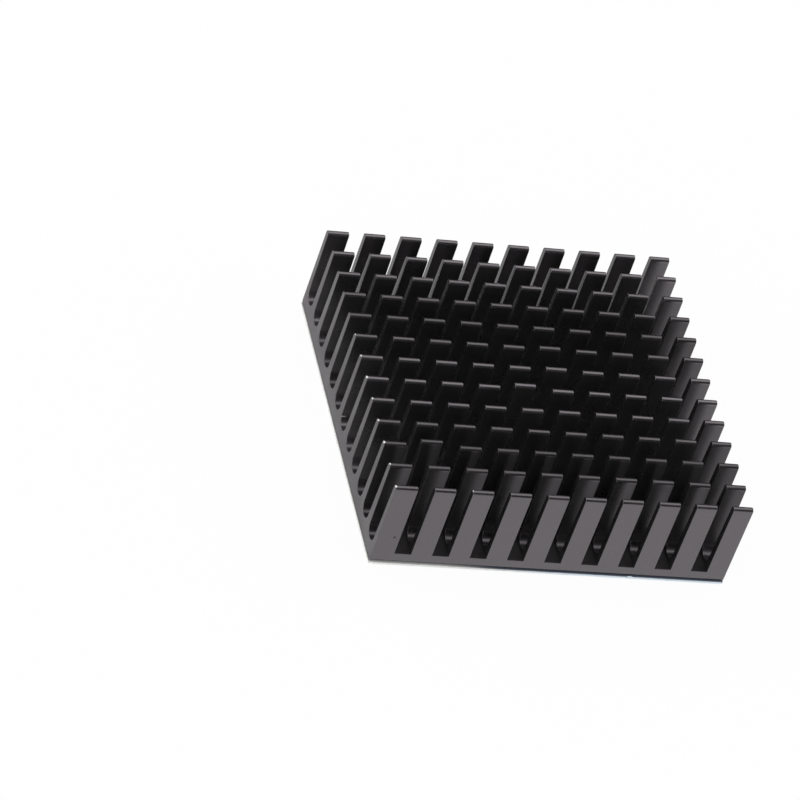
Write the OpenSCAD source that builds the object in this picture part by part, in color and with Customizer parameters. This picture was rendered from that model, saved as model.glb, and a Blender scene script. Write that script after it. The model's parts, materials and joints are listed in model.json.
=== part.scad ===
// Pin-fin heat sink with a peel-and-stick thermal tape.
// The metal body is one extrusion with tapered fins that run along X, sawn across into rows of flat pins.
// The tape lies under the base, and a thin liner covers the sticky side until use.
// Front is -Y, the pins point up, and the origin is at the middle of the underside.

/* [Body] */
// Length of the body along the fins, in millimetres
body_length = 40; // [25:0.5:80]
// Width of the body across the fins
body_width = 40; // [30:0.5:60]
// Height of the metal from the base to the pin tips
body_height = 10.8; // [8:0.1:16]
// Round of the two lower edges along the fins
base_round = 0.45; // [0.1:0.05:0.7]

/* [Fins] */
// Number of fins across the width
fin_count = 13; // [8:1:16]
// Thickness of a fin at its tip
fin_tip = 0.72; // [0.4:0.02:1]
// Lean of each fin side, in degrees
fin_taper = 1.4; // [0.5:0.1:2.5]
// Metal left under the lowest point of a groove
groove_floor = 1.6; // [1:0.05:3]

/* [Cross cuts] */
// Number of pins that each fin is sawn into
pin_count = 10; // [6:1:14]
// Width of a saw cut
cut_width = 1.84; // [0.8:0.02:2.4]
// Metal left under a saw cut
cut_floor = 1.33; // [0.8:0.01:3]
// How far the row of cuts sits to the right of the middle of the body
cut_shift = 0.1; // [-0.3:0.05:0.3]

/* [Knocked pins] */
// Rows of the knocked pins, counted from the front
knocked_rows = [3, 6, 7, 8]; // [1:1:13]
// Columns of the knocked pins, counted from the left
knocked_columns = [2, 5, 6, 6]; // [1:1:10]
// How far the tip of each knocked pin leans to the back
knocked_leans = [0.7, 0.6, 0.2, 0.2]; // [0.1:0.1:1]

/* [Tape] */
// Thickness of the thermal tape
tape_thickness = 0.25; // [0.1:0.05:0.5]
// Thickness of the release liner
liner_thickness = 0.1; // [0.05:0.01:0.2]
// How far the tape reaches past the base on each side
tape_overhang = 0.15; // [0:0.05:0.5]
// How far the liner stays inside the edge of the tape
liner_inset = 0.2; // [0:0.05:0.5]

/* [Hidden] */
$fn = 48;

// Heights of the two layers under the metal
tape_bottom = liner_thickness;
base_bottom = tape_bottom + tape_thickness;
tape_length = body_length + 2 * tape_overhang;
tape_width = body_width + 2 * tape_overhang;

// Reach of a cutting outline past the metal that it removes
over = 1;

// Spacing of the fins, with the outer fins flush with the sides of the body
fin_pitch = (body_width - fin_tip) / (fin_count - 1);
groove_mouth = fin_pitch - fin_tip;

// A full round is a little wider than the sides that run into it
round_ease = 1.03;
tip_radius = round_ease * fin_tip / 2;
tip_centre = body_height - tip_radius;
groove_radius = round_ease * (groove_mouth / 2 - (body_height - groove_floor) * tan(fin_taper))
    / (1 - round_ease * tan(fin_taper));
groove_centre = groove_floor + groove_radius;

// Spacing of the pins along a fin
pin_length = (body_length - (pin_count - 1) * cut_width) / pin_count;
pin_pitch = pin_length + cut_width;

// A knocked pin is bent where the round at its foot begins
bend_height = groove_centre;
bend_arm = body_height - bend_height;

// Middle of a fin across the body, and start of a pin along it
function fin_y(row) = (fin_tip - body_width) / 2 + (row - 1) * fin_pitch;
function pin_x(column) = (column - 1) * pin_pitch - body_length / 2 + cut_shift;

// Half the width of a groove and half the thickness of a fin at a height above the base
function groove_half(z) = groove_mouth / 2 - (body_height - z) * tan(fin_taper);
function fin_half(z) = fin_tip / 2 + (body_height - z) * tan(fin_taper);

// Straight tapered outline between two heights
module wedge(low, half_low, high, half_high) {
    polygon([[-half_low, low], [half_low, low], [half_high, high], [-half_high, high]]);
}

// Groove between two fins, round at the bottom and open at the top
module groove_section() {
    top = body_height + 2 * over;
    bottom = groove_floor - over;
    intersection() {
        wedge(bottom, groove_half(bottom), top, groove_half(top));
        union() {
            translate([-fin_pitch / 2, groove_centre])
                square([fin_pitch, body_height + over]);
            translate([0, groove_centre])
                circle(groove_radius);
        }
    }
}

// Straight sides of one pin above its bend, with the round of the tip
module pin_section() {
    top = body_height + over;
    intersection() {
        wedge(bend_height, fin_half(bend_height), top, fin_half(top));
        union() {
            translate([-fin_pitch / 2, 0])
                square([fin_pitch, tip_centre]);
            translate([0, tip_centre])
                circle(tip_radius);
        }
    }
}

// Metal taken off the lower corner at the origin to leave a round
module corner_waste() {
    difference() {
        translate([-over, -over])
            square(base_round + over);
        translate([base_round, base_round])
            circle(round_ease * base_round);
    }
}

// Section of the whole extrusion, with Y to the right and Z up
module extrusion_section() {
    intersection() {
        difference() {
            translate([-body_width / 2, 0])
                square([body_width, body_height + over]);
            for (row = [1 : fin_count - 1])
                translate([fin_y(row) + fin_pitch / 2, 0])
                    groove_section();
            for (side = [0, 1])
                mirror([side, 0])
                    translate([-body_width / 2, 0])
                        corner_waste();
        }
        union() {
            translate([-body_width / 2 - over, -over])
                square([body_width + 2 * over, tip_centre + over]);
            for (row = [1 : fin_count])
                translate([fin_y(row), tip_centre])
                    circle(tip_radius);
        }
    }
}

// Turns a section into a bar along X
module along_x(length) {
    rotate([90, 0, 90])
        linear_extrude(length)
            children();
}

// A saw cut runs across all the fins, a little deeper than the grooves
module saw_cut(column) {
    translate([pin_x(column) + pin_length, -body_width / 2 - over, cut_floor])
        cube([cut_width, body_width + 2 * over, body_height - cut_floor + over]);
}

// Room that a knocked pin leaves above its bend, up to the middle of the gaps around it
module knocked_room(row, column) {
    translate([pin_x(column) - cut_width / 2, fin_y(row) - fin_pitch / 2, bend_height])
        cube([pin_pitch, fin_pitch, bend_arm + over]);
}

// A knocked pin leans back around the front corner of its bend
module knocked_pin(row, column, lean) {
    front = fin_half(bend_height);
    translate([pin_x(column), fin_y(row) - front, bend_height])
        rotate([-asin(lean / bend_arm), 0, 0])
            translate([0, front, -bend_height])
                along_x(pin_length)
                    pin_section();
}

module finned_body() {
    color([0.07, 0.07, 0.075])
        translate([0, 0, base_bottom]) {
            difference() {
                translate([-body_length / 2, 0, 0])
                    along_x(body_length)
                        extrusion_section();
                for (column = [1 : pin_count - 1])
                    saw_cut(column);
                for (i = [0 : len(knocked_rows) - 1])
                    knocked_room(knocked_rows[i], knocked_columns[i]);
            }
            for (i = [0 : len(knocked_rows) - 1])
                knocked_pin(knocked_rows[i], knocked_columns[i], knocked_leans[i]);
        }
}

// A layer under the base, set in by a distance from the edge of the tape
module sheet(inset, bottom, thickness) {
    translate([inset - tape_length / 2, inset - tape_width / 2, bottom])
        cube([tape_length - 2 * inset, tape_width - 2 * inset, thickness]);
}

module adhesive_tape() {
    color([0.93, 0.93, 0.91])
        sheet(0, tape_bottom, tape_thickness);
}

module release_liner() {
    color([0.36, 0.74, 0.93])
        sheet(liner_inset, 0, liner_thickness);
}

finned_body();
adhesive_tape();
release_liner();
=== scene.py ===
import json
import math
import random

import bmesh
import bpy
from mathutils import Matrix, Vector


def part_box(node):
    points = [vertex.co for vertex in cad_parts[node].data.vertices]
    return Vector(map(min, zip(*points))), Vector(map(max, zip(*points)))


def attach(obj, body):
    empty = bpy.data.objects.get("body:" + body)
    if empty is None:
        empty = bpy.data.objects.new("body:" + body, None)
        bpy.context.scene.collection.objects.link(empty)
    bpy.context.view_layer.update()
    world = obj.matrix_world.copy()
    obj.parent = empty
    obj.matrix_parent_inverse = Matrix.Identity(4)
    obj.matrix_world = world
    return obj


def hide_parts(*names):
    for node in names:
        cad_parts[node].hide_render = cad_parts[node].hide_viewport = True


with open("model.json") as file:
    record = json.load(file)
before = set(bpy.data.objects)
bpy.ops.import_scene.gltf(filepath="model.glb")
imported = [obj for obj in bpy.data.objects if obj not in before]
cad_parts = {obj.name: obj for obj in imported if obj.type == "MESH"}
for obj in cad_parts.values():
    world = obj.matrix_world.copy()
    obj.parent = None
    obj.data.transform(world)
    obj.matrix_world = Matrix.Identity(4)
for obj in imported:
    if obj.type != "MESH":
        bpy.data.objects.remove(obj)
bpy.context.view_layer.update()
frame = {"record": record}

MM = 0.001

# Sizes of the finned body that its box doesn't give
FIN_COUNT = 13
FIN_TIP = 0.72 * MM
FIN_TAPER = math.radians(1.4)
GROOVE_FLOOR = 1.6 * MM
PIN_COUNT = 10
CUT_WIDTH = 1.84 * MM
CUT_FLOOR = 1.33 * MM
CUT_SHIFT = 0.1 * MM
BASE_ROUND = 0.45 * MM

# Small round of the deburred sawn edges, and the least turns of a sharp edge and of split shading
SAWN_ROUND = 0.04 * MM
SHARP_TURN = math.radians(30)
SPLIT_TURN = math.radians(50)

# Knocked pins as (row from the front, column from the left, lean of the tip to the back)
KNOCKED_PINS = [(3, 2, 0.7 * MM), (6, 5, 0.6 * MM), (7, 6, 0.2 * MM), (8, 6, 0.2 * MM)]
BEND_ZONE = 1.5 * MM
LOOSE_LEAN = 0.02 * MM
LEAN_SEED = 4

# Corners worn to bare metal as (row from the front, column from the left, size of the spot)
WORN_CORNERS = [
    (1, 1, 0.21 * MM),
    (2, 1, 0.15 * MM),
    (3, 1, 0.22 * MM),
    (4, 1, 0.19 * MM),
    (5, 1, 0.15 * MM),
    (6, 1, 0.22 * MM),
    (7, 1, 0.16 * MM),
    (8, 1, 0.12 * MM),
    (1, 3, 0.13 * MM),
]

# Speck of dirt on the front face of the first pin, chip of swarf in a groove, and crumb of adhesive
SPECK_PLACE = Vector((-18.2, -20, 4.05)) * MM
SPECK_SIZE = 0.15 * MM
SWARF_PLACE = Vector((-19.72, -0.63, 2.74)) * MM
SWARF_SIZE = Vector((0.34, 0.13, 0.09)) * MM
SWARF_COLOURS = ((0.13, 0.115, 0.11, 1), (0.26, 0.23, 0.22, 1))
SWARF_ROUGHNESS = 0.5
CRUMB_PLACE = Vector((9.3, -20.06, 0.37)) * MM
CRUMB_SIZE = Vector((0.3, 0.09, 0.1)) * MM

# Steps that the curved and bent stretches are divided into, and the distance within which points join
SAWN_STEPS = 2
ROUND_STEPS = 6
GROOVE_STEPS = 14
SIDE_STEPS = 8
LUMP_STEPS = 2
JOIN_DISTANCE = 0.001 * MM

# Least shares of a face's normal, along the fins for a sawn side and upwards for the floor of a cut
SAWN_SIDE_SHARE = 0.5
CUT_FLOOR_SHARE = 0.9

# Noise of the finishes, the span of its values that is used, and the share of a spot that is full
NOISE_DETAIL = 3.0
NOISE_SPAN = (0.3, 0.7)
SPOT_CORE = 0.6

# Finishes of the anodised metal in their order on the body
OUTER, FLANK, END, CUT, CUT_BOTTOM = range(5)

# Colours of the anodised and of the bare metal, and a painted lighter grey that lifts the deep shade
# between the fins, with where it sets in by height and across the fins
BLACKS = ((0.0095, 0.0093, 0.0095, 1), (0.0143, 0.0139, 0.0143, 1))
SHADOW_LIFT_GREY = (0.036, 0.035, 0.0355, 1)
SHADOW_LIFT_HEIGHTS = (10 * MM, 6 * MM)
SHADOW_LIFT_PLACES = (-14.5 * MM, -9.5 * MM)
BARE_METAL = (0.9, 0.9, 0.89, 1)
ANODISED_TINT = (1, 0.92, 0.985, 1)

# Gloss of the finishes: index of refraction, and span of the roughness; the lower indices of the faces
# inside the fins are painted shade
OUTER_IOR = 1.965
END_IOR = 1.75
FLANK_SHADED_IOR = 1.74
CUT_SHADED_IOR = 1.42
CUT_BOTTOM_SHADED_IOR = 1.55
DRAWN_ROUGHNESS = (0.22, 0.32)
FLANK_ROUGHNESS = (0.26, 0.36)
END_ROUGHNESS = (0.4, 0.5)
CUT_ROUGHNESS = (0.2, 0.28)

# Sheen of the drawn faces: mean, swing, fins in one swing, shiniest fin from the front, and rise a fin,
# a painted reflection that brightens the fins towards the back
SHEEN_MEAN = 0.573
SHEEN_SWING = 0.173
SHEEN_FINS = 6.3
SHINIEST_FIN = 5.96
PAINTED_SHEEN_RISE = 0.0102

# Painted reflection on the sawn ends, stronger towards the back, and the places along Y between which it
# rises
END_REFLECTION_PLACES = (0.0, 20 * MM)
END_REFLECTION_LEVELS = (0.5, 0.75)

# Marks on the metal: clouds of the anodising, grain, lines of the die and arcs of the saw blade
CLOUD_SIZE = 5 * MM
GRAIN_SIZE = 0.05 * MM
GRAIN_DEPTH = 0.0006 * MM
DIE_LINE_LENGTH = 14 * MM
DIE_LINE_WIDTH = 0.16 * MM
DIE_LINE_DEPTH = 0.002 * MM
BLADE_RADIUS = 40 * MM
SAW_MARK_SPACING = 0.12 * MM
SAW_MARK_DEPTH = 0.003 * MM

# Cut edges of the tape and of the liner
SHEET_CORNER = 0.5 * MM
SHEET_WAVER = 0.04 * MM
SHEET_POINT_SPACING = 1.6 * MM
TAPE_EDGE_ROUND = 0.06 * MM
LINER_EDGE_ROUND = 0.02 * MM
TAPE_SEED = 11
LINER_SEED = 12

# Tape: painted blue bounce from the liner and painted shade in the crevice under the metal, the places
# along X between which they set in, and grain
TAPE_BLUE_BOUNCE = (0.74, 0.84, 0.92, 1)
TAPE_CREVICE_SHADE = (0.105, 0.12, 0.16, 1)
BLUE_BOUNCE_SPAN = (-9 * MM, 4 * MM)
CREVICE_SHADE_SPAN = (-12 * MM, -5 * MM)
CREVICE_SHADE_LEVELS = (0.35, 1.0)
CREVICE_SHADE_REACH = 0.13 * MM
TAPE_GRAIN_SIZE = 0.08 * MM
TAPE_GRAIN_DEPTH = 0.004 * MM
TAPE_ROUGHNESS = (0.55, 0.75)

# Liner: gloss, ripples and scuffs
LINER_IOR = 1.6
LINER_ROUGHNESS = (0.14, 0.32)
LINER_RIPPLE_SIZE = (9 * MM, 2.5 * MM, 2.5 * MM)
LINER_RIPPLE_DEPTH = 0.03 * MM
LINER_SCUFF_SIZE = 1.2 * MM
LINER_SCUFF_SPAN = (0.45, 0.75)

# View of the photograph, with angles and distance from the middle of the cuts at the metal's underside
CAMERA_AZIMUTH = math.radians(-26.51)
CAMERA_ELEVATION = math.radians(39.89)
CAMERA_DISTANCE = 544.3 * MM
CAMERA_ROLL = math.radians(20.46)
CAMERA_AIM = Vector((-11.53, 5.14, 0.35)) * MM
CAMERA_LENS = 225.5
CAMERA_SENSOR = 36.0
CAMERA_CLIP_START = 0.01
CAMERA_CLIP_END = 20

# Studio light: each softbox has a direction, the angles where it fades out and is full, and a level
STUDIO_COLOUR = (1, 1, 1, 1)
ROOM_LEVEL = 0.05
SOFTBOXES = [
    (Vector((0.2, 0.19, 0.96)), math.radians(38), math.radians(29), 1.3),
    (Vector((-0.95, 0.1, 0.35)), math.radians(50), math.radians(30), 1.0),
    (Vector((-0.7, -0.68, 0.2)), math.radians(46), math.radians(32), 2.1),
    (Vector((-0.6, 0.75, 0.35)), math.radians(45), math.radians(25), 1.2),
    (Vector((0.95, 0.1, 0.35)), math.radians(48), math.radians(28), 1.5),
    (Vector((0, 0, -1)), math.radians(90), math.radians(60), 0.9),
]

# Floor, open under the part so that its underside gets light
FLOOR_REACH = 4.0
FLOOR_HOLE = 19.88 * MM
FLOOR_DROP = 0.02 * MM
FLOOR_COLOUR = (0.93, 0.93, 0.93, 1)
FLOOR_ROUGHNESS = 0.9
FLOOR_GLOW = 0.95

body_low, body_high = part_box("finned_body")
base_bottom = body_low.z
body_length = body_high.x - body_low.x
body_width = body_high.y - body_low.y
body_height = body_high.z - body_low.z
fin_pitch = (body_width - FIN_TIP) / (FIN_COUNT - 1)
pin_length = (body_length - (PIN_COUNT - 1) * CUT_WIDTH) / PIN_COUNT
pin_pitch = pin_length + CUT_WIDTH


def fin_y(row):
    """Middle of a fin, with row 0 at the front."""
    return body_low.y + FIN_TIP / 2 + row * fin_pitch


def pin_span(column):
    """Start and end of a pin along its fin, with column 0 at the left."""
    start = body_low.x + CUT_SHIFT + column * pin_pitch
    end = start + pin_length
    if column == 0:
        start = body_low.x
    if column == PIN_COUNT - 1:
        end = body_high.x
    return start, end


def fin_half(height):
    """Half the thickness of a fin at a height above the base."""
    return FIN_TIP / 2 + (body_height - height) * math.tan(FIN_TAPER)


def steps(first, last, count):
    """Evenly spaced values from first to last, both included."""
    return [first + (last - first) * i / count for i in range(count + 1)]


groove_half = fin_pitch / 2 - fin_half(GROOVE_FLOOR)
groove_radius = groove_half * math.cos(FIN_TAPER) / (1 - math.sin(FIN_TAPER))
groove_centre = GROOVE_FLOOR + groove_radius
foot_height = groove_centre - groove_radius * math.sin(FIN_TAPER)


def fin_side(row, sign):
    """One side of a fin from its foot to the middle of its round tip, as (y, height) points."""
    outer = (row == 0 and sign < 0) or (row == FIN_COUNT - 1 and sign > 0)
    taper = 0.0 if outer else FIN_TAPER
    radius = FIN_TIP / 2 * math.cos(taper) / (1 - math.sin(taper))
    centre = body_height - radius
    points = []
    for height in steps(foot_height, centre + radius * math.sin(taper), SIDE_STEPS):
        half = FIN_TIP / 2 if outer else fin_half(height)
        points.append((half, height))
    for angle in steps(taper, math.pi / 2, ROUND_STEPS)[1:]:
        points.append((radius * math.cos(angle), centre + radius * math.sin(angle)))
    return [(fin_y(row) + sign * half, height) for half, height in points]


def groove_arc(row, sign):
    """Half of a groove's round floor, from the foot of a fin to the lowest point of the groove."""
    middle = fin_y(row) + sign * fin_pitch / 2
    points = []
    for angle in steps(FIN_TAPER, math.pi / 2, GROOVE_STEPS // 2):
        across = groove_radius * math.cos(angle)
        points.append((middle - sign * across, groove_centre - groove_radius * math.sin(angle)))
    return points


def fin_outline(row):
    """Front and back halves of the outline of a fin and its foot, each from the bottom to the tip."""
    halves = []
    for sign in (-1, 1):
        if row == (0 if sign < 0 else FIN_COUNT - 1):
            foot = [(fin_y(row) + sign * FIN_TIP / 2, CUT_FLOOR)]
        else:
            arc = groove_arc(row, sign)
            foot = [(arc[-1][0], CUT_FLOOR)] + arc[:0:-1]
        halves.append(foot + fin_side(row, sign))
    return halves


def base_edge(y, inward):
    """Side of the base plate at one edge, from the cut floor down around the lower edge."""
    points = [(y, CUT_FLOOR)]
    for angle in steps(0, math.pi / 2, ROUND_STEPS):
        across = BASE_ROUND * (1 - math.cos(angle))
        points.append((y + inward * across, BASE_ROUND * (1 - math.sin(angle))))
    return points


def add_face(mesh, points):
    """Adds one face through points given in the frame of the part."""
    return mesh.faces.new([mesh.verts.new(p) for p in points])


def place(x, point):
    """A point of the section at a place along the fins."""
    return (x, point[0], base_bottom + point[1])


def add_strip(mesh, start, end, path):
    """Faces along the fins under or over each stretch of a path of the section."""
    for p, q in zip(path, path[1:]):
        add_face(mesh, [place(start, p), place(end, p), place(end, q), place(start, q)])


def add_end(mesh, x, outline):
    """Closes one end of a pin: strips between its two sides, its round tip, and its foot."""
    front, back = outline
    side_count = SIDE_STEPS + ROUND_STEPS
    front_side = front[-side_count - 1:]
    back_side = back[-side_count - 1:]
    for i in range(SIDE_STEPS):
        corners = (front_side[i], back_side[i], back_side[i + 1], front_side[i + 1])
        add_face(mesh, [place(x, p) for p in corners])
    tip = front_side[SIDE_STEPS:] + back_side[SIDE_STEPS:-1][::-1]
    foot = front[:-side_count] + back[:-side_count][::-1]
    for outline_part in (tip, foot):
        add_face(mesh, [place(x, p) for p in outline_part])


def add_pin(mesh, row, column):
    """Walls of one pin and of the foot under it."""
    outline = fin_outline(row)
    path = outline[0] + outline[1][-2::-1]
    if row > 0:
        path = path[1:]
    if row < FIN_COUNT - 1:
        path = path[:-1]
    start, end = pin_span(column)
    add_strip(mesh, start, end, path)
    add_end(mesh, start, outline)
    add_end(mesh, end, outline)


def add_base(mesh):
    """Base plate under the pins, open where the pins stand on it."""
    middles = [fin_y(row) + fin_pitch / 2 for row in range(FIN_COUNT - 1)]
    front = base_edge(body_low.y, 1)
    back = base_edge(body_high.y, -1)
    bottom = [front[-1]] + [(y, 0) for y in middles] + [back[-1]]
    top = [front[0]] + [(y, CUT_FLOOR) for y in middles] + [back[0]]
    along = [x for column in range(PIN_COUNT) for x in pin_span(column)]
    for i, (start, end) in enumerate(zip(along, along[1:])):
        for path in (front, back, bottom):
            add_strip(mesh, start, end, path)
        if i % 2:
            add_strip(mesh, start, end, top)
    for x in (along[0], along[-1]):
        cells = [[bottom[i], bottom[i + 1], top[i + 1], top[i]] for i in range(1, FIN_COUNT - 1)]
        cells.append(front + [bottom[1], top[1]])
        cells.append(back + [bottom[-2], top[-2]])
        for cell in cells:
            add_face(mesh, [place(x, p) for p in cell])


def is_sharp(edge):
    """Whether an outer edge of the body turns enough to be a sawn edge."""
    return len(edge.link_faces) == 2 and edge.calc_face_angle_signed(0) > SHARP_TURN


def bent(offset, height, lean):
    """Place of a point of a leaning pin, from its offset across the fin and height above the bend."""
    arm = body_height - foot_height - BEND_ZONE / 2
    turn = math.asin(lean / arm)
    angle = turn * min(height / BEND_ZONE, 1)
    radius = BEND_ZONE / turn
    beyond = max(height - BEND_ZONE, 0)
    y = radius * (1 - math.cos(angle)) + beyond * math.sin(turn) + offset * math.cos(angle)
    z = radius * math.sin(angle) + beyond * math.cos(turn) - offset * math.sin(angle)
    return y, z


def lean_pins(mesh):
    """Leans the knocked pins to the back, and every other pin by a hair."""
    chance = random.Random(LEAN_SEED)
    leans = {}
    for row in range(FIN_COUNT):
        for column in range(PIN_COUNT):
            leans[row, column] = chance.uniform(-LOOSE_LEAN, LOOSE_LEAN)
    for row, column, lean in KNOCKED_PINS:
        leans[row - 1, column - 1] = lean
    bend = base_bottom + foot_height
    for vertex in mesh.vertices:
        height = vertex.co.z - bend
        if height <= 0:
            continue
        row = round((vertex.co.y - fin_y(0)) / fin_pitch)
        column = min(int((vertex.co.x - body_low.x) / pin_pitch), PIN_COUNT - 1)
        y, z = bent(vertex.co.y - fin_y(row), height, leans[row, column])
        vertex.co.y = fin_y(row) + y
        vertex.co.z = bend + z


def make_object(name, data):
    """Links a mesh or a camera into the scene as an object."""
    obj = bpy.data.objects.new(name, data)
    bpy.context.scene.collection.objects.link(obj)
    return obj


def broken_edges(shape, name):
    """Mesh of a shape with every sharp outer edge rounded a little."""
    weight = shape.edges.layers.float.new("bevel_weight_edge")
    for edge in shape.edges:
        edge[weight] = 1 if is_sharp(edge) else 0
    sharp = bpy.data.meshes.new("sharp")
    shape.to_mesh(sharp)
    draft = make_object("draft", sharp)
    bevel = draft.modifiers.new("edge_rounds", "BEVEL")
    bevel.width = SAWN_ROUND
    bevel.segments = SAWN_STEPS
    bevel.limit_method = "WEIGHT"
    bevel.use_clamp_overlap = False
    bpy.context.view_layer.update()
    graph = bpy.context.evaluated_depsgraph_get()
    mesh = bpy.data.meshes.new_from_object(draft.evaluated_get(graph))
    mesh.name = name
    bpy.data.objects.remove(draft)
    return mesh


def shade_flat_faces(mesh):
    """Sets shading normals that keep large faces flat and run smoothly over the small rounds."""
    around = [[] for vertex in mesh.vertices]
    for face in mesh.polygons:
        for vertex in face.vertices:
            around[vertex].append((face.normal.copy(), face.area))
    normals = []
    for face in mesh.polygons:
        for vertex in face.vertices:
            near = [n * area for n, area in around[vertex] if n.dot(face.normal) > math.cos(SPLIT_TURN)]
            normals.append(sum(near, Vector()).normalized())
    mesh.normals_split_custom_set(normals)


def finish_of(face):
    """Finish of a face: sawn end, side or lower part of a cut, flank of a fin, or other drawn face."""
    x, y, z = face.center
    height = z - base_bottom
    if abs(face.normal.x) > SAWN_SIDE_SHARE:
        if abs(x) > body_high.x - 2 * SAWN_ROUND:
            return END
        return CUT if height > foot_height else CUT_BOTTOM
    if face.normal.z > CUT_FLOOR_SHARE and abs(height - CUT_FLOOR) < SAWN_ROUND:
        return CUT_BOTTOM
    inside = abs(y) < body_high.y - BASE_ROUND
    on_flank = foot_height < height < body_height - FIN_TIP
    return FLANK if inside and on_flank else OUTER


def finned_body(finishes):
    """The sawn extrusion as one closed mesh with broken edges."""
    shape = bmesh.new()
    for row in range(FIN_COUNT):
        for column in range(PIN_COUNT):
            add_pin(shape, row, column)
    add_base(shape)
    bmesh.ops.remove_doubles(shape, verts=shape.verts, dist=JOIN_DISTANCE)
    bmesh.ops.recalc_face_normals(shape, faces=shape.faces)
    mesh = broken_edges(shape, "pin_fin_body")
    shape.free()
    for finish in finishes:
        mesh.materials.append(finish)
    for face in mesh.polygons:
        face.use_smooth = True
        face.material_index = finish_of(face)
    lean_pins(mesh)
    shade_flat_faces(mesh)
    return make_object("pin_fin_body", mesh)


def sheet_outline(low, high, chance):
    """Outline of a square cut sheet with round corners and slightly wavering edges."""
    left, right = low.x + SHEET_CORNER, high.x - SHEET_CORNER
    front, back = low.y + SHEET_CORNER, high.y - SHEET_CORNER
    middles = [(right, front), (right, back), (left, back), (left, front)]
    points = []
    for i, (x, y) in enumerate(middles):
        for angle in steps(i * math.pi / 2 - math.pi / 2, i * math.pi / 2, ROUND_STEPS):
            corner_x = x + SHEET_CORNER * math.cos(angle)
            corner_y = y + SHEET_CORNER * math.sin(angle)
            points.append(Vector((corner_x, corner_y)))
        goal = Vector(middles[(i + 1) % len(middles)]) + (points[-1] - Vector((x, y)))
        start = points[-1]
        count = round((goal - start).length / SHEET_POINT_SPACING)
        inward = (start - goal).orthogonal().normalized()
        for share in steps(0, 1, count)[1:-1]:
            waver = chance.uniform(0, SHEET_WAVER)
            points.append(start.lerp(goal, share) - inward * waver)
    return points


def sheet(name, node, material, edge_round, seed):
    """A thin cut sheet in the place of a flat node, with its edges a little rounded."""
    low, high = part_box(node)
    outline = sheet_outline(low, high, random.Random(seed))
    middle = (low + high) / 2
    rings = [
        (edge_round, low.z),
        (0, low.z + edge_round),
        (0, high.z - edge_round),
        (edge_round, high.z),
    ]
    shape = bmesh.new()
    loops = []
    for inset, z in rings:
        share = 1 - inset / (high.x - middle.x)
        ring = [(middle.xy + (p - middle.xy) * share).to_3d() + Vector((0, 0, z)) for p in outline]
        loops.append([shape.verts.new(p) for p in ring])
    count = len(outline)
    for lower, upper in zip(loops, loops[1:]):
        for i in range(count):
            shape.faces.new((lower[i], lower[(i + 1) % count], upper[(i + 1) % count], upper[i]))
    shape.faces.new(loops[0][::-1])
    shape.faces.new(loops[-1])
    mesh = bpy.data.meshes.new(name)
    shape.to_mesh(mesh)
    shape.free()
    mesh.materials.append(material)
    for face in mesh.polygons:
        on_rim = len(face.vertices) == 4
        face.use_smooth = on_rim
    return make_object(name, mesh)


def lump(name, middle, size, material):
    """A small rounded lump that sticks to the part."""
    shape = bmesh.new()
    where = Matrix.LocRotScale(middle, None, size)
    bmesh.ops.create_icosphere(shape, subdivisions=LUMP_STEPS, radius=1, matrix=where)
    mesh = bpy.data.meshes.new(name)
    shape.to_mesh(mesh)
    shape.free()
    mesh.materials.append(material)
    for face in mesh.polygons:
        face.use_smooth = True
    return make_object(name, mesh)


def add_node(tree, kind, inputs=None, **settings):
    """Adds a shader node; an input given as an output socket is linked, and any other value is set."""
    node = tree.nodes.new("ShaderNode" + kind)
    for name, value in settings.items():
        setattr(node, name, value)
    for key, value in (inputs or {}).items():
        if isinstance(value, bpy.types.NodeSocket):
            tree.links.new(value, node.inputs[key])
        else:
            node.inputs[key].default_value = value
    return node


def calculate(tree, operation, *values):
    """Output of a math node."""
    return add_node(tree, "Math", dict(enumerate(values)), operation=operation).outputs[0]


def spread(tree, value, span, target=(0.0, 1.0)):
    """Output that carries one span of values over to another, with a soft start and end."""
    inputs = {
        "Value": value,
        "From Min": span[0],
        "From Max": span[1],
        "To Min": target[0],
        "To Max": target[1],
    }
    return add_node(tree, "MapRange", inputs, interpolation_type="SMOOTHSTEP").outputs["Result"]


def noise(tree, where, size):
    """Noise with features of about the given size in metres along each axis."""
    scaled = add_node(tree, "VectorMath", {0: where, 1: size}, operation="DIVIDE").outputs[0]
    inputs = {"Vector": scaled, "Scale": 1.0, "Detail": NOISE_DETAIL}
    return add_node(tree, "TexNoise", inputs).outputs["Fac"]


def mix_colours(tree, share, first, second):
    """Output that goes from one colour to another by a share; either colour may be an output."""
    return add_node(tree, "Mix", {0: share, 6: first, 7: second}, data_type="RGBA").outputs[2]


def spot(tree, where, centre, size):
    """Output that is 1 near a point and fades out at the given distance from it."""
    inputs = {0: where, 1: centre}
    distance = add_node(tree, "VectorMath", inputs, operation="DISTANCE").outputs["Value"]
    return spread(tree, distance, (size, size * SPOT_CORE))


def new_material(name):
    """A node material, its tree and its principled shader."""
    material = bpy.data.materials.new(name)
    material.use_nodes = True
    tree = material.node_tree
    return material, tree, tree.nodes["Principled BSDF"]


def place_on_object(tree):
    """Output with the object's own coordinates."""
    return add_node(tree, "TexCoord").outputs["Object"]


def worn_corners(tree, where):
    """Mask of the pin corners that are worn to bare metal, with ragged edges."""
    ragged = noise(tree, where, (GRAIN_SIZE,) * 3)
    shift = add_node(tree, "VectorMath", {0: ragged, "Scale": GRAIN_SIZE}, operation="SCALE").outputs[0]
    rough_place = add_node(tree, "VectorMath", {0: where, 1: shift}, operation="ADD").outputs[0]
    mask = 0.0
    for row, column, size in WORN_CORNERS:
        corner = (pin_span(column - 1)[0], fin_y(row - 1), body_high.z)
        mask = calculate(tree, "MAXIMUM", mask, spot(tree, rough_place, corner, size))
    return mask


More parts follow.
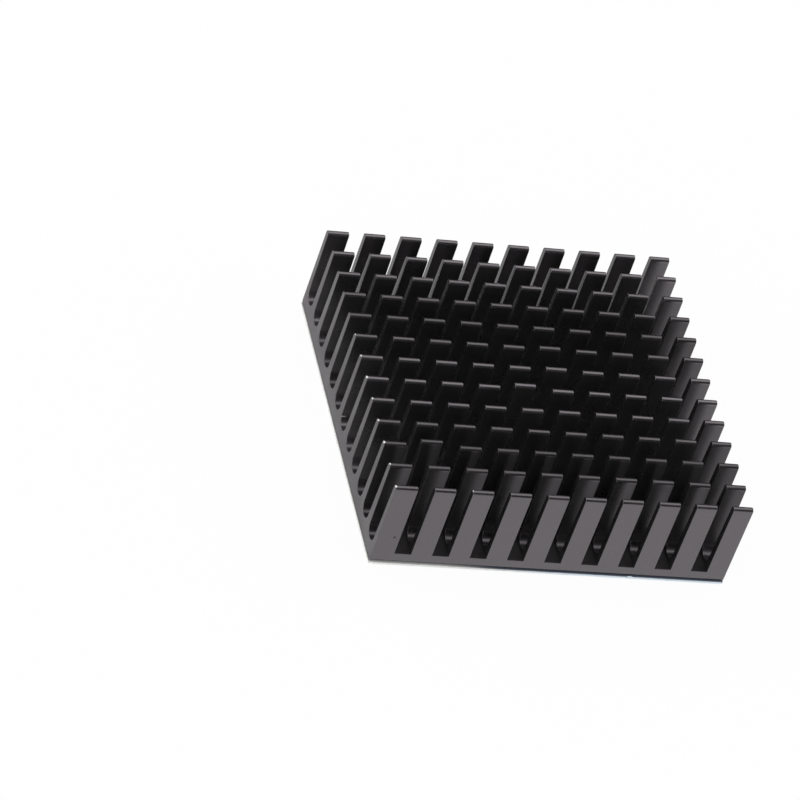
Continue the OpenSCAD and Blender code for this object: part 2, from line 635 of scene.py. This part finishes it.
def add_relief(tree, shader, height):
    """Bends the shading of a material by a height in metres."""
    bump = add_node(tree, "Bump", {"Height": height, "Distance": 1.0})
    tree.links.new(bump.outputs["Normal"], shader.inputs["Normal"])


def die_lines(tree, where):
    """Height of the fine lines that the extrusion die drew along the fins."""
    lines = noise(tree, where, (DIE_LINE_LENGTH, DIE_LINE_WIDTH, DIE_LINE_WIDTH))
    return calculate(tree, "MULTIPLY", lines, DIE_LINE_DEPTH)


def saw_arcs(tree, where):
    """Height of the arcs that the saw blade left on the cut faces."""
    parts = add_node(tree, "SeparateXYZ", {0: where}).outputs
    height = calculate(tree, "SUBTRACT", parts["Z"], base_bottom + CUT_FLOOR)
    height = calculate(tree, "MAXIMUM", height, 0.0)
    span = calculate(tree, "SUBTRACT", 2 * BLADE_RADIUS, height)
    reach = calculate(tree, "SQRT", calculate(tree, "MULTIPLY", height, span))
    along = calculate(tree, "SUBTRACT", parts["Y"], reach)
    count = calculate(tree, "DIVIDE", along, SAW_MARK_SPACING)
    inputs = {"W": count, "Scale": 1.0, "Detail": NOISE_DETAIL}
    marks = add_node(tree, "TexNoise", inputs, noise_dimensions="1D").outputs["Fac"]
    return calculate(tree, "MULTIPLY", marks, SAW_MARK_DEPTH)


def fin_sheen(tree, where):
    """Strength of the reflection, a little different from fin to fin, with a painted rise towards the
    back, and dull on the speck of dirt.
    """
    y = add_node(tree, "SeparateXYZ", {0: where}).outputs["Y"]
    from_shiniest = calculate(tree, "SUBTRACT", y, fin_y(SHINIEST_FIN - 1))
    turn = calculate(tree, "MULTIPLY", from_shiniest, 2 * math.pi / (SHEEN_FINS * fin_pitch))
    swing = calculate(tree, "MULTIPLY", calculate(tree, "COSINE", turn), SHEEN_SWING)
    # Painted reflection: the sheen rises from fin to fin towards the back
    rise = calculate(tree, "MULTIPLY", y, PAINTED_SHEEN_RISE / fin_pitch)
    level = calculate(tree, "ADD", calculate(tree, "ADD", swing, rise), SHEEN_MEAN)
    plain = calculate(tree, "SUBTRACT", 1.0, spot(tree, where, SPECK_PLACE, SPECK_SIZE))
    return calculate(tree, "MULTIPLY", level, plain)


def painted_end_reflection(tree, where):
    """Strength of the reflection of the sawn ends, a painted reflection that rises a little towards the
    back.
    """
    y = add_node(tree, "SeparateXYZ", {0: where}).outputs["Y"]
    return spread(tree, y, END_REFLECTION_PLACES, END_REFLECTION_LEVELS)


def painted_shadow_lift(tree, where):
    """Share of the painted grey that lifts the deep shade between the fins, more towards their feet and
    behind the front rows.
    """
    parts = add_node(tree, "SeparateXYZ", {0: where}).outputs
    low = spread(tree, parts["Z"], SHADOW_LIFT_HEIGHTS)
    inside = spread(tree, parts["Y"], SHADOW_LIFT_PLACES)
    return calculate(tree, "MULTIPLY", low, inside)


def anodised(name, ior, roughness, marks, sheen=None, shadow_lifted=False):
    """Black anodised aluminium with the marks of its making, bare where a corner is worn."""
    material, tree, shader = new_material(name)
    where = place_on_object(tree)
    shader.inputs["IOR"].default_value = ior
    shader.inputs["Specular Tint"].default_value = ANODISED_TINT
    cloud = noise(tree, where, (CLOUD_SIZE,) * 3)
    tone = mix_colours(tree, cloud, *BLACKS)
    # Painted light: a lighter grey low down between the fins lifts their deep shade
    if shadow_lifted:
        tone = mix_colours(tree, painted_shadow_lift(tree, where), tone, SHADOW_LIFT_GREY)
    bare = worn_corners(tree, where)
    tree.links.new(mix_colours(tree, bare, tone, BARE_METAL), shader.inputs["Base Color"])
    tree.links.new(bare, shader.inputs["Metallic"])
    tree.links.new(spread(tree, cloud, NOISE_SPAN, roughness), shader.inputs["Roughness"])
    grain = calculate(tree, "MULTIPLY", noise(tree, where, (GRAIN_SIZE,) * 3), GRAIN_DEPTH)
    add_relief(tree, shader, calculate(tree, "ADD", marks(tree, where), grain))
    if sheen:
        tree.links.new(sheen(tree, where), shader.inputs["Specular IOR Level"])
    return material


def dull_swarf():
    """Crushed bare metal with dirt in it."""
    material, tree, shader = new_material("dull_swarf")
    where = place_on_object(tree)
    shader.inputs["Roughness"].default_value = SWARF_ROUGHNESS
    dirt = noise(tree, where, (GRAIN_SIZE,) * 3)
    tree.links.new(mix_colours(tree, dirt, *SWARF_COLOURS), shader.inputs["Base Color"])
    add_relief(tree, shader, calculate(tree, "MULTIPLY", dirt, GRAIN_SIZE))
    return material


def white_tape(colour):
    """Matte filled adhesive, with painted shade in the crevice under the metal and a painted pale blue
    bounce from the liner towards the right.
    """
    material, tree, shader = new_material("white_tape")
    where = place_on_object(tree)
    parts = add_node(tree, "SeparateXYZ", {0: where}).outputs
    # Painted light: a pale blue bounce from the liner towards the right
    blue_bounce = spread(tree, parts["X"], BLUE_BOUNCE_SPAN)
    grain = noise(tree, where, (TAPE_GRAIN_SIZE,) * 3)
    reach = [calculate(tree, "ABSOLUTE", parts[axis]) for axis in "XY"]
    reach = calculate(tree, "MAXIMUM", *reach)
    # Painted shade: darker where the tape runs under the metal's lower edge, more towards the right
    crevice_shade = spread(tree, reach, (body_high.y + CREVICE_SHADE_REACH, body_high.y))
    level = spread(tree, parts["X"], CREVICE_SHADE_SPAN, CREVICE_SHADE_LEVELS)
    crevice_shade = calculate(tree, "MULTIPLY", crevice_shade, level)
    plain = mix_colours(tree, blue_bounce, colour, TAPE_BLUE_BOUNCE)
    tree.links.new(mix_colours(tree, crevice_shade, plain, TAPE_CREVICE_SHADE), shader.inputs["Base Color"])
    tree.links.new(spread(tree, grain, NOISE_SPAN, TAPE_ROUGHNESS), shader.inputs["Roughness"])
    add_relief(tree, shader, calculate(tree, "MULTIPLY", grain, TAPE_GRAIN_DEPTH))
    return material


def blue_film(colour):
    """Glossy polyester film with faint ripples and scuffs."""
    material, tree, shader = new_material("blue_film")
    where = place_on_object(tree)
    shader.inputs["Base Color"].default_value = colour
    shader.inputs["IOR"].default_value = LINER_IOR
    scuffs = noise(tree, where, (LINER_SCUFF_SIZE,) * 3)
    gloss = spread(tree, scuffs, LINER_SCUFF_SPAN, LINER_ROUGHNESS)
    tree.links.new(gloss, shader.inputs["Roughness"])
    ripples = noise(tree, where, LINER_RIPPLE_SIZE)
    add_relief(tree, shader, calculate(tree, "MULTIPLY", ripples, LINER_RIPPLE_DEPTH))
    return material


def studio_light():
    """World light: a dim room with softboxes overhead, at both sides and under the floor."""
    world = bpy.data.worlds.new("studio")
    bpy.context.scene.world = world
    world.use_nodes = True
    tree = world.node_tree
    direction = add_node(tree, "TexCoord").outputs["Generated"]
    level = ROOM_LEVEL
    for middle, fade_out, full, strength in SOFTBOXES:
        inputs = {0: direction, 1: middle.normalized()}
        turn = add_node(tree, "VectorMath", inputs, operation="DOT_PRODUCT").outputs["Value"]
        share = spread(tree, turn, (math.cos(fade_out), math.cos(full)))
        level = add_node(tree, "Mix", {0: share, 2: level, 3: strength}).outputs[0]
    tree.links.new(level, tree.nodes["Background"].inputs["Strength"])
    tree.nodes["Background"].inputs["Color"].default_value = STUDIO_COLOUR


def floor_material():
    """Floor that keeps the shadow, looks white when seen or mirrored, and is clear from below."""
    material, tree, shader = new_material("floor")
    shader.inputs["Base Color"].default_value = FLOOR_COLOUR
    shader.inputs["Roughness"].default_value = FLOOR_ROUGHNESS
    shader.inputs["Specular IOR Level"].default_value = 0
    ray = add_node(tree, "LightPath").outputs
    seen = calculate(tree, "MAXIMUM", ray["Is Camera Ray"], ray["Is Glossy Ray"])
    seen = calculate(tree, "MAXIMUM", seen, ray["Is Transmission Ray"])
    glow = add_node(tree, "Emission", {"Strength": 1.0}).outputs[0]
    share = calculate(tree, "MULTIPLY", seen, FLOOR_GLOW)
    white = add_node(tree, "MixShader", {0: share, 1: shader.outputs[0], 2: glow}).outputs[0]
    clear = add_node(tree, "BsdfTransparent").outputs[0]
    below = add_node(tree, "NewGeometry").outputs["Backfacing"]
    surface = add_node(tree, "MixShader", {0: below, 1: white, 2: clear}).outputs[0]
    tree.links.new(surface, tree.nodes["Material Output"].inputs["Surface"])
    return material


def floor():
    """Plain floor just under the part, open where the part covers it."""
    sides = ((-1, -1), (1, -1), (1, 1), (-1, 1))
    corners = [(x * r, y * r, -FLOOR_DROP) for r in (FLOOR_HOLE, FLOOR_REACH) for x, y in sides]
    count = len(sides)
    faces = []
    for i in range(count):
        following = (i + 1) % count
        faces.append((i, count + i, count + following, following))
    mesh = bpy.data.meshes.new("floor")
    mesh.from_pydata(corners, [], faces)
    mesh.materials.append(floor_material())
    make_object("floor", mesh)


def camera():
    """Camera at the photograph's place, aimed a little to the left of the part and rolled."""
    data = bpy.data.cameras.new("camera")
    data.lens = CAMERA_LENS
    data.sensor_width = CAMERA_SENSOR
    data.clip_start = CAMERA_CLIP_START
    data.clip_end = CAMERA_CLIP_END
    obj = make_object("camera", data)
    level = math.cos(CAMERA_ELEVATION)
    x = math.sin(CAMERA_AZIMUTH) * level
    y = -math.cos(CAMERA_AZIMUTH) * level
    back = Vector((x, y, math.sin(CAMERA_ELEVATION)))
    obj.location = Vector((CUT_SHIFT, 0, base_bottom)) + back * CAMERA_DISTANCE
    look = (CAMERA_AIM - obj.location).to_track_quat("-Z", "Y").to_matrix()
    obj.rotation_euler = (look @ Matrix.Rotation(CAMERA_ROLL, 3, "Z")).to_euler()
    bpy.context.scene.camera = obj


def dress(piece, node=None):
    """Makes a piece part of the object, in place of a node if one is given."""
    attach(piece, "root")
    if node:
        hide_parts(node)


bpy.context.scene.view_settings.view_transform = "Standard"
colours = {m["slot"]: (*m["base_color"], 1) for m in frame["record"]["materials"]}
outer = anodised("outer_black", OUTER_IOR, DRAWN_ROUGHNESS, die_lines, fin_sheen)
# The flank and cut materials are darker copies of the outer and end ones, painted shade for the faces
# inside
flank = anodised("flank_black", FLANK_SHADED_IOR, FLANK_ROUGHNESS, die_lines, fin_sheen, shadow_lifted=True)
end = anodised("end_black", END_IOR, END_ROUGHNESS, saw_arcs, painted_end_reflection)
cut = anodised("cut_black", CUT_SHADED_IOR, CUT_ROUGHNESS, saw_arcs, shadow_lifted=True)
cut_bottom = anodised("cut_bottom_black", CUT_BOTTOM_SHADED_IOR, END_ROUGHNESS, saw_arcs, shadow_lifted=True)
dress(finned_body([outer, flank, end, cut, cut_bottom]), "finned_body")
dress(lump("groove_swarf", SWARF_PLACE, SWARF_SIZE, dull_swarf()))
tape = white_tape(colours["white_thermal_tape"])
tape_sheet = sheet("thermal_tape", "adhesive_tape", tape, TAPE_EDGE_ROUND, TAPE_SEED)
dress(tape_sheet, "adhesive_tape")
dress(lump("tape_crumb", CRUMB_PLACE, CRUMB_SIZE, tape))
liner = blue_film(colours["blue_liner_film"])
liner_sheet = sheet("liner_film", "release_liner", liner, LINER_EDGE_ROUND, LINER_SEED)
dress(liner_sheet, "release_liner")
floor()
studio_light()
camera()
